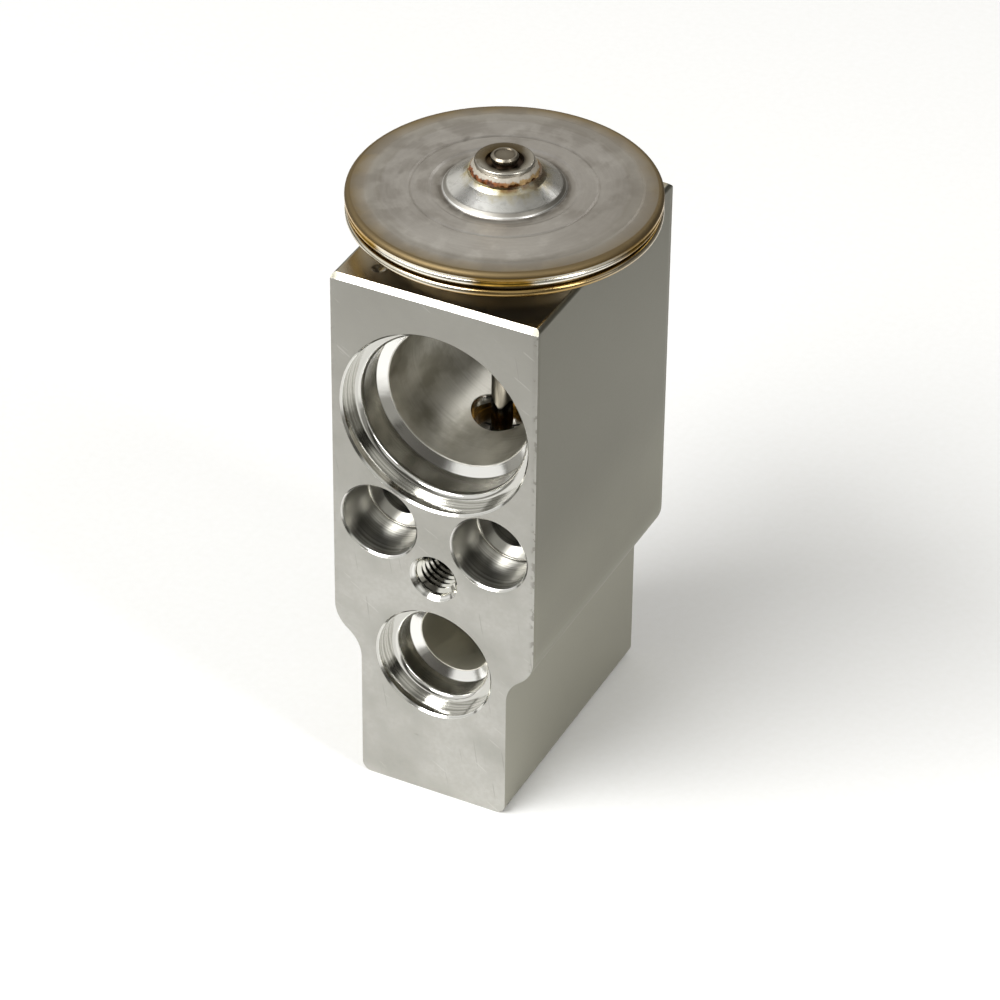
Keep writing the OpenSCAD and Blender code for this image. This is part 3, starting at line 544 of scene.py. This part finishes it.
# Painted highlight: two pale arcs of the rim.
pale_highlight = painted_highlight_arcs(tree, around)
gold = add(tree, "Mix", {0: ragged, 6: linear("#8f6c22"), 7: linear("#d2a850")}, data_type="RGBA")
gilt = add(tree, "MULTIPLY", add(tree, "MULTIPLY_ADD", pale_highlight, -0.85, 0.9),
           add(tree, "MapRange", z, 86.25, 86.4, 1.0, 0.0, **smooth))
rim = add(tree, "Mix", {0: gilt, 6: band, 7: gold}, data_type="RGBA")
colour = add(tree, "Mix", {0: at_edge, 6: colour, 7: rim}, data_type="RGBA")
roughness = add(tree, "MULTIPLY_ADD", add(tree, "SUBTRACT", smudge, 0.5), 0.16, 0.42)
roughness = add(tree, "ADD", roughness,
                add(tree, "MULTIPLY", at_edge,
                    add(tree, "MapRange", z, 86.2, 86.45, -0.24, 0.13, **smooth)))
roughness = add(tree, "ADD", roughness, add(tree, "MULTIPLY", on_cone, -0.16))
foot = between(tree, radius, 7.55, 7.75, 8.05, 8.15)
roughness = add(tree, "MULTIPLY_ADD", foot, 0.22, roughness)
height = add(tree, "MULTIPLY_ADD", fine, 0.5,
             add(tree, "MULTIPLY", noise(tree, place, 0.4, 3), 3.0))
height = add(tree, "MULTIPLY_ADD", arcs, 0.3, height)
height = add(tree, "MULTIPLY_ADD", rubs, -1.5, height)
finish_metal(tree, output, colour, roughness, height, 0.000006)
dress("head_cover", head_sheet)

tree, output, lower_sheet = new_material("pressed stainless sheet, straw-tinted lip")
place, x, y, z = object_millimetres(tree)
radius = axis_radius(tree, x, y)
colour = by_radius(tree, radius, [(9.0, "#c4c0b8"), (18.4, "#b9b2a6"), (19.6, "#96825a"),
                                  (20.3, "#8a7038"), (22.0, "#a58a52")])
# Lip: straw, then a pale band painted as a highlight, then brown, by height in millimetres above
# its foot.
lip_foot = 83.5
above = add(tree, "SUBTRACT", z, lip_foot)
band = colour_ramp(tree, above, [
    (0.1, "#8f7434"), (0.22, "#c59a44"), (0.36, "#f3ecda"), (0.86, "#f3ecda"), (0.92, "#a8883f"),
    (0.96, "#7d6330"), (1.0, "#6e5729")])
turn = add(tree, "ARCTAN2", x, add(tree, "MULTIPLY", y, -1.0))
# Gold covers the painted highlight from a little right of the front round to the right; on the left
# it shows.
gilt = add(tree, "MULTIPLY", add(tree, "MapRange", turn, 0.08, 0.34, **smooth),
           add(tree, "MapRange", turn, 0.9, 1.3, 0.85, 0.3, **smooth))
lip = add(tree, "Mix", {0: gilt, 6: band, 7: linear("#b08a35")}, data_type="RGBA")
colour = add(tree, "Mix", {0: add(tree, "MapRange", radius, 20.35, 20.5, **smooth), 6: colour,
                           7: lip}, data_type="RGBA")
smudge = noise(tree, place, 0.25, 4)
colour = add(tree, "Mix", {0: add(tree, "MULTIPLY", smudge, 0.4), 6: colour, 7: linear("#7c6c50")},
             data_type="RGBA")
roughness = add(tree, "ADD", add(tree, "MapRange", radius, 18.8, 20.0, 0.36, 0.18, **smooth),
                add(tree, "MULTIPLY", add(tree, "SUBTRACT", smudge, 0.5), 0.1))
finish_metal(tree, output, colour, roughness, noise(tree, place, 1.5, 3), 0.000006)
dress("head_lower_disc", lower_sheet)


# Seam weld: the bead in the groove between the two discs, made on a roller machine. It rolls up
# under the cover's edge, straw-coloured on top with two arcs painted pale as a highlight, and burnt
# brown below, painted near black a little right of the front as shade.
def bead(name, ring, middle, section, ripple, scales, seed, sides=14, steps=1440):
    """A bead round the upright axis: a circle of the section radius is carried round the ring;
    its radius swells once a scale by the ripple, and slow random waves lift it a little. A point
    is (ring + section * cos, angle, middle + section * sin)."""
    rng = np.random.default_rng(seed)
    angle = np.linspace(0, 2 * np.pi, steps, endpoint=False)[:, None]
    turn = np.linspace(0, 2 * np.pi, sides, endpoint=False)[None, :]
    phase = (scales * angle / (2 * np.pi)) % 1
    swell = 1 + ripple * (1 - phase) ** 2
    slow = sum(rng.uniform(0.3, 1) / k * np.sin(k * angle + rng.uniform(0, 2 * np.pi))
               for k in range(5, 29))
    size = section * (swell + 0.02 * slow)
    reach = ring + size * np.cos(turn)
    points = np.stack([reach * np.sin(angle), -reach * np.cos(angle),
                       middle + size * np.sin(turn) + 0 * angle], axis=2)
    index = np.arange(steps * sides).reshape(steps, sides)
    after, beside = np.roll(index, -1, axis=0), np.roll(index, -1, axis=1)
    faces = np.stack([index, after, np.roll(after, -1, axis=1), beside], axis=2).reshape(-1, 4)
    return new_piece(name, points.reshape(-1, 3) / 1000, faces)


seam_weld = bead("seam_weld", ring=20.36, middle=85.4, section=0.5, ripple=0.004, scales=90,
                 seed=7)
tree, output, material = new_material("oxidised seam weld, painted shade and highlight")
place, x, y, z = object_millimetres(tree)
burn = noise(tree, place, 0.3, 3)
turn = add(tree, "ARCTAN2", x, add(tree, "MULTIPLY", y, -1.0))
around = add(tree, "MULTIPLY_ADD", add(tree, "SUBTRACT", burn, 0.5), 0.25, turn)
pale_highlight = painted_highlight_arcs(tree, around)
gold = add(tree, "Mix", {0: add(tree, "MapRange", burn, 0.35, 0.65, **smooth), 6: linear("#8a6a24"),
                         7: linear("#d0a64c")}, data_type="RGBA")
# Painted highlight: the two pale arcs.
edge = add(tree, "Mix", {0: pale_highlight, 6: gold, 7: linear("#f6f2e6")}, data_type="RGBA")
under = add(tree, "Mix", {0: add(tree, "MapRange", burn, 0.35, 0.65, **smooth),
                          6: linear("#8a6d3c"), 7: linear("#ab8d55")}, data_type="RGBA")
# Painted shade: near black a little right of the front.
under = add(tree, "Mix", {0: between(tree, turn, 0.2, 0.34, 0.6, 0.8), 6: under,
                          7: linear("#33270f")}, data_type="RGBA")
under = add(tree, "Mix", {0: add(tree, "MapRange", turn, 0.75, 1.0, **smooth), 6: under,
                          7: linear("#96803f")}, data_type="RGBA")
burnt_top, edge_foot = 85.08, 85.2
colour = add(tree, "Mix", {0: add(tree, "MapRange", z, burnt_top, edge_foot, **smooth), 6: under,
                           7: edge}, data_type="RGBA")
bump = add(tree, "Bump", {"Height": noise(tree, place, 3.0, 3), "Strength": 1.0,
                          "Distance": 0.000004})
metallic = add(tree, "MapRange", z, burnt_top, edge_foot, 0.3, 1.0, **smooth)
roughness = add(tree, "MapRange", z, burnt_top, edge_foot, 0.45, 0.2, **smooth)
surface = add(tree, "BsdfPrincipled", {"Base Color": colour, "Metallic": metallic,
                                       "Roughness": roughness, "Normal": bump})
tree.links.new(surface.outputs[0], output.inputs["Surface"])
seam_weld.data.materials.append(material)
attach(seam_weld, "block")


# Charge nipple and plug: turned stainless. The nipple was brazed to the cone and its joint rusted;
# the plug was pushed into the nipple's hole and resistance-welded there. The well round the plug
# is painted near black as shade.
tree, output, nipple_metal = new_material("turned stainless, painted shade in well")
place, x, y, z = object_millimetres(tree)
radius = axis_radius(tree, x, y)
stain = noise(tree, place, 0.8, 4)
# Painted shade: near black in the well round the plug.
colour = by_radius(tree, radius, [(1.5, "#1e1a16"), (2.35, "#241f19"), (2.6, "#4d4436"),
                                  (3.0, "#938b7c"), (3.5, "#bcb7ac"), (22.0, "#bab5aa")])
# Darker brown towards the left and back.
darker_left_back = add(tree, "MULTIPLY_ADD", x, -0.45, add(tree, "MULTIPLY", y, 0.35))
darker_left_back = add(tree, "MapRange", add(tree, "MULTIPLY_ADD", stain, 2.4, darker_left_back), 0.9, 2.4, **smooth)
colour = add(tree, "Mix", {0: add(tree, "MULTIPLY", darker_left_back, 0.8), 6: colour, 7: linear("#6a5a3c")},
             data_type="RGBA")
low = add(tree, "MapRange", z, 90.45, 90.85, 1.0, 0.0, **smooth)
colour = add(tree, "Mix", {0: low, 6: colour, 7: linear("#6b4422")}, data_type="RGBA")
roughness = add(tree, "MULTIPLY_ADD", stain, 0.2, 0.2)
finish_metal(tree, output, colour, roughness, noise(tree, place, 3.0, 3), 0.00001)
dress("charge_nipple", nipple_metal)

tree, output, plug_metal = new_material("turned stainless plug, scorched")
place, x, y, z = object_millimetres(tree)
radius = axis_radius(tree, x, y)
stain = noise(tree, place, 1.2, 4)
# Towards the plug's edge a dark ring and then a light ring; the light ring is a painted highlight.
colour = by_radius(tree, radius, [(0.0, "#a19a8c"), (1.1, "#8f8779"), (1.3, "#6a6256"),
                                  (1.55, "#b5aea1"), (1.8, "#9a9284"), (22.0, "#8f8779")])
colour = add(tree, "Mix", {0: add(tree, "MULTIPLY", stain, 0.5), 6: colour, 7: linear("#6d6250")},
             data_type="RGBA")
finish_metal(tree, output, colour, add(tree, "MULTIPLY_ADD", stain, 0.2, 0.2),
             noise(tree, place, 3.0, 3), 0.00001)
dress("charge_plug", plug_metal)


# Braze round the nipple's foot: a rough fillet that rusted, thicker at the front and left, with a
# ragged lower edge that runs down the cone.
def fillet(name, seed, thickness=0.08, buried=0.03, sides=540, steps=10):
    """A thin skin over the nipple's foot and the cone's top: it starts on the nipple's wall, runs
    down the flare and ends at a ragged edge on the cone. A point is (radius, angle, height), both
    read off the foot's own profile and lifted by a lumpy thickness that fades at the two edges;
    the same points buried under the metal close its back."""
    rng = np.random.default_rng(seed)
    angle = np.linspace(0, 2 * np.pi, sides, endpoint=False)
    rag = sum(rng.uniform(0.4, 1) / k ** 0.7 * np.sin(k * angle + rng.uniform(0, 2 * np.pi))
              for k in range(2, 36))
    rag = rag / np.abs(rag).max()
    profile = np.array([(4.01, 91.1), (4.03, 90.8), (4.18, 90.6), (4.52, 90.1), (4.58, 89.9),
                        (4.86, 89.85), (5.0, 89.6), (5.5, 89.1), (5.95, 88.75)])
    run = np.concatenate([[0], np.cumsum(np.hypot(*np.diff(profile, axis=0).T))])
    # Start and end of the skin as shares of that profile's length; both wander round the nipple.
    end = run[-1] * (0.40 + 0.13 * rag + 0.07 * np.cos(angle + 0.3))
    along = np.linspace(0, 1, steps + 1)[None, :]
    top = run[-1] * (0.07 + 0.05 * np.roll(rag, sides // 3))[:, None]
    at = top + along * (end[:, None] - top)
    radius, height = np.interp(at, run, profile[:, 0]), np.interp(at, run, profile[:, 1])
    lumps = 1 + 0.35 * np.roll(rag, sides // 5)[:, None] * np.cos(3 * along)
    lift = thickness * np.sin(np.pi * along) ** 0.5 * lumps + 0.012
    reach = np.concatenate([radius + 0.75 * lift, (radius - buried)[:, ::-1]], axis=1)
    level = np.concatenate([height + 0.66 * lift, (height - buried)[:, ::-1]], axis=1)
    points = np.stack([reach * np.sin(angle)[:, None], -reach * np.cos(angle)[:, None], level],
                      axis=2)
    index = np.arange(points.shape[0] * points.shape[1]).reshape(points.shape[:2])
    after, beside = np.roll(index, -1, axis=0), np.roll(index, -1, axis=1)
    faces = np.stack([index, beside, np.roll(after, -1, axis=1), after], axis=2).reshape(-1, 4)
    return new_piece(name, points.reshape(-1, 3) / 1000, faces)


braze = fillet("nipple_braze", seed=5)
tree, output, material = new_material("rusted braze")
place, x, _, z = object_millimetres(tree)
crust = noise(tree, place, 1.6, 5)
colour = add(tree, "Mix", {0: add(tree, "MapRange", crust, 0.38, 0.62, **smooth),
                           6: linear("#4a2814"), 7: linear("#94582f")}, data_type="RGBA")
colour = add(tree, "Mix", {0: add(tree, "MapRange", x, 0.5, 4.0, 0.0, 0.75, **smooth), 6: colour,
                           7: linear("#ab9365")}, data_type="RGBA")
level = add(tree, "MULTIPLY_ADD", noise(tree, place, 1.3, 3), 1.1, z)
colour = add(tree, "Mix", {0: add(tree, "MapRange", level, 90.85, 91.05, **smooth), 6: colour,
                           7: linear("#b4ada0")}, data_type="RGBA")
colour = add(tree, "Mix", {0: add(tree, "MapRange", level, 90.2, 90.05, **smooth), 6: colour,
                           7: linear("#cdbd95")}, data_type="RGBA")
bump = add(tree, "Bump", {"Height": crust, "Strength": 1.0, "Distance": 0.00012})
surface = add(tree, "BsdfPrincipled", {"Base Color": colour, "Metallic": 0.35, "Roughness": 0.55,
                                       "Normal": bump})
tree.links.new(surface.outputs[0], output.inputs["Surface"])
braze.data.materials.append(material)
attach(braze, "block")


# Inside pieces: sleeve, diaphragm and its plate, pin, bush, retainer, seat, ball, carrier, damping
# spring and adjusting screw, each turned, ground, rolled or stamped, with its own tone and grain.
dress("head_threaded_sleeve",
      turned_metal("turned stainless sleeve", "#c4c0ba", "#b4b0a8", 0.25))
dress("diaphragm", turned_metal("cold-rolled stainless foil", "#cfccc8", "#bdbab4", 0.2))
dress("diaphragm_plate", turned_metal("turned aluminium plate", "#d2d0cb", "#c2c0ba", 0.25))
# The pin's tone is darker than its steel: painted shade.
dress("operating_pin", turned_metal("ground stainless pin, painted dark as shade", "#8c8880", "#78746c", 0.1))
# The bush's brass is darker than brass: painted shade.
dress("pin_guide_bush", turned_metal("turned brass bush, painted dark as shade", "#9a7433", "#6e5224", 0.25))
steel = turned_metal("hardened stainless steel", "#c2bfba", "#aca9a2", 0.22)
for name in ("pin_seal_retainer", "valve_seat", "ball_carrier", "damping_spring"):
    dress(name, steel)
dress("valve_ball", turned_metal("polished bearing steel", "#dcdcdc", "#c8c8c8", 0.06))
dress("adjusting_screw", turned_metal("turned brass screw", "#d3ae66", "#bf9850", 0.24))


# Superheat spring: 1.1 mm drawn stainless wire, coiled with a closed turn at each end, made as a
# lower and an upper half.
def coil(name, low, high, wire, ring, open_turns, first, last, steps=48, sides=14):
    """A round wire along a helix about the upright axis, from turn first to turn last: height
    rises by the wire and a little in the closed first and last turns and evenly between. A point
    is the helix point plus wire * (cos b outward + sin b along the binormal), ends capped."""
    closed = 2 * wire + 0.05
    turns = open_turns + 2
    pitch = (high - low - 2 * closed) / open_turns
    t = np.linspace(first, last, int((last - first) * steps) + 1)
    climb = np.interp(t, [0, 1, turns - 1, turns], [0, closed, closed + pitch * open_turns,
                                                    2 * closed + pitch * open_turns])
    angle = 2 * np.pi * t
    slope = np.gradient(climb, angle) / ring
    outward = np.stack([np.cos(angle), np.sin(angle), 0 * angle], axis=1)
    binormal = np.stack([slope * np.sin(angle), -slope * np.cos(angle), 1 + 0 * angle], axis=1)
    binormal /= np.linalg.norm(binormal, axis=1)[:, None]
    middle = ring * outward
    middle[:, 2] = low + climb
    b = np.linspace(0, 2 * np.pi, sides, endpoint=False)
    points = (middle[:, None, :] + wire * (np.cos(b)[None, :, None] * outward[:, None, :]
                                           + np.sin(b)[None, :, None] * binormal[:, None, :]))
    count = len(t)
    index = np.arange(count * sides).reshape(count, sides)
    beside = np.roll(index, -1, axis=1)
    skin = np.stack([index[:-1], index[1:], beside[1:], beside[:-1]], axis=2).reshape(-1, 4)
    centres = count * sides + np.array([0, 1])
    caps = np.concatenate([np.stack([index[0], beside[0], 0 * index[0] + centres[0]], axis=1),
                           np.stack([beside[-1], index[-1], 0 * index[0] + centres[1]], axis=1)])
    points = np.concatenate([points.reshape(-1, 3), middle[[0, -1]]])
    mesh = bpy.data.meshes.new(name)
    mesh.from_pydata((points / 1000).tolist(), [], skin.tolist() + caps.tolist())
    mesh.polygons.foreach_set("use_smooth", [True] * len(skin) + [False] * len(caps))
    made = bpy.data.objects.new(name, mesh)
    bpy.context.collection.objects.link(made)
    return made


bottom, top = (corner[2] * 1000 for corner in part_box("superheat_spring"))
wire, ring = 0.55, 3.4
wire_metal = turned_metal("drawn stainless spring wire", "#c9c6c0", "#b3afa7", 0.2)
for name, first, last, ends in (
        ("superheat_spring_lower", 0, 2.5, ("adjuster_seal", "block", 0.0135, 0.0156)),
        ("superheat_spring_upper", 2.5, 5, ("block", "valve_stem", 0.0174, 0.0195))):
    half = coil(name, bottom + wire, top - wire, wire, ring, 3, first, last)
    half.data.materials.append(wire_metal)
    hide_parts("superheat_spring")
    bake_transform(half)


# Seals: moulded nitrile rubber, dull black with a dusty bloom.
tree, output, rubber = new_material("moulded nitrile rubber")
place = object_millimetres(tree)[0]
bloom = noise(tree, place, 0.7, 4)
colour = add(tree, "Mix", {0: bloom, 6: linear("#171718"), 7: linear("#2b2b2b")}, data_type="RGBA")
surface = add(tree, "BsdfPrincipled", {"Base Color": colour,
                                       "Roughness": add(tree, "MULTIPLY_ADD", bloom, 0.2, 0.42)})
tree.links.new(surface.outputs[0], output.inputs["Surface"])
for name in ("head_o_ring", "pin_o_ring", "adjuster_o_ring"):
    dress(name, rubber)
